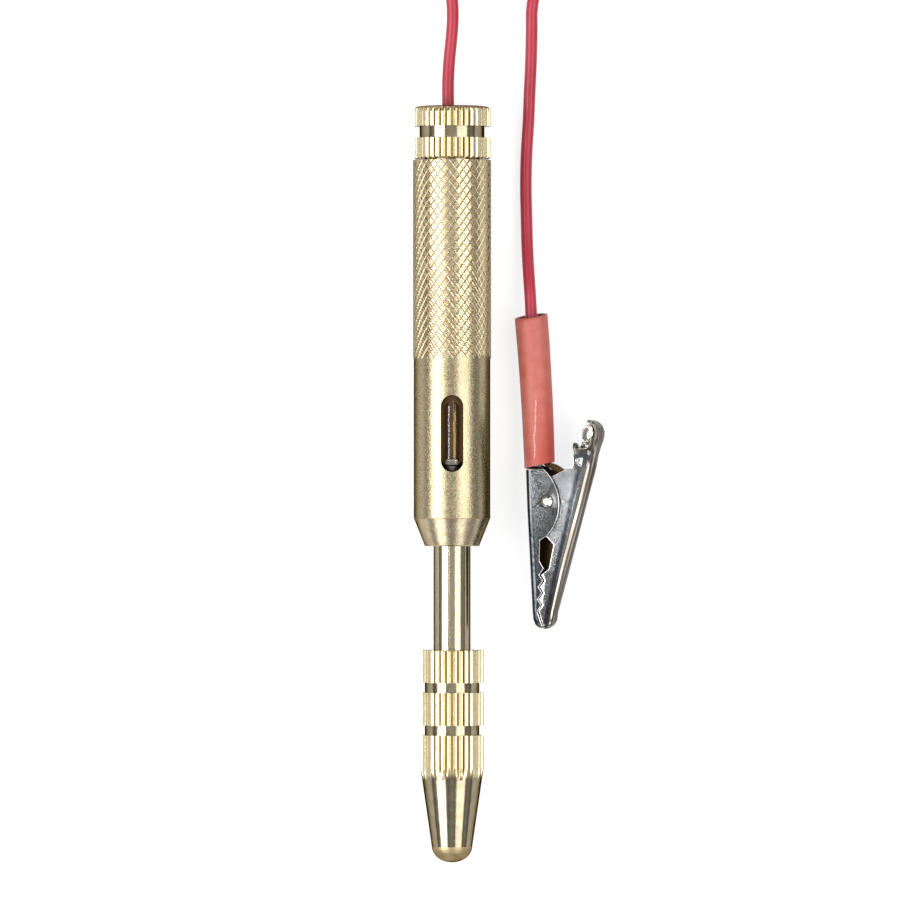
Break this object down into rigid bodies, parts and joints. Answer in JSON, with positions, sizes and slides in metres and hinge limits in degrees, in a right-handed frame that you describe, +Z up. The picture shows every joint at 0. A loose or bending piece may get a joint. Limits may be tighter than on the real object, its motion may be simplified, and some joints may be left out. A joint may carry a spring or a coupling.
{
  "type": "test light",
  "caption": "Pocket circuit tester: knurled brass barrel with a lamp behind a window, a probe under a screw-on tip cap, and a red lead ending in a spring clip.",
  "frame": {"origin": "centre of the tester's footprint on the surface that it lies on, halfway between the rounded tip and the cap's rear face, with the lead and clip left out", "axes": "+Y along the barrel towards the lead, -Y towards the tip, +Z up through the window, +X towards the side on which the clip lies"},
  "size_m": [0.0312, 0.163, 0.012],
  "materials": {
    "brass_barrel": "satin, diamond-knurled grip",
    "brass_knurled": "bright turned",
    "plated_shaft": "dull nickel plate over brass",
    "needle_steel": "polished",
    "lamp_glass": "clear",
    "lamp_metal": "tinned",
    "filament": "fine coil",
    "contact_brass": "bright",
    "spring_steel": "drawn wire",
    "brown_insulator": "smooth",
    "bare_copper": "stranded",
    "red_lead": "smooth soft PVC",
    "black_tie": "smooth",
    "red_sleeve": "soft PVC, satin",
    "nickel_plate": "nickel plate on pressed sheet"
  },
  "bodies": {
    "tester": {"barrel": "brass_barrel", "end_cap": "brass_knurled", "lamp_glass": "lamp_glass", "lamp_front_end": "lamp_metal", "lamp_rear_end": "lamp_metal", "lamp_filament": "filament", "contact_disc": "contact_brass", "contact_spring": "spring_steel", "insulating_liner": "brown_insulator", "insulating_washer": "brown_insulator", "probe_shaft": "plated_shaft", "probe_needle": "needle_steel", "cord_stop": "contact_brass", "contact_wire": "bare_copper", "cord_to_tester": "red_lead", "cord_coil": "red_lead", "cord_tie": "black_tie", "cord_to_clip": "red_lead", "clip_wire": "bare_copper", "clip_sleeve": "red_sleeve", "clip_fixed_jaw": "nickel_plate", "clip_rivet": "nickel_plate", "clip_spring": "spring_steel"},
    "clip_jaw": {"clip_moving_jaw": "nickel_plate"},
    "tip_cap": {"tip_cap": "brass_knurled"}
  },
  "joints": [
    {"name": "clip_hinge", "type": "hinge", "parent": "tester", "child": "clip_jaw", "pos_m": [0.0152, -0.00263, 0.00347], "axis": [-0.2079, 0, 0.9781], "range_deg": [0, 16], "stiffness_Nm_per_rad": 0.15, "springref_deg": -20.05, "deforming": ["clip_spring"]},
    {"name": "tip_cap_slide", "type": "slide", "parent": "tester", "child": "tip_cap", "axis": [0, -1, 0], "range_m": [0, 0.03]}
  ]
}
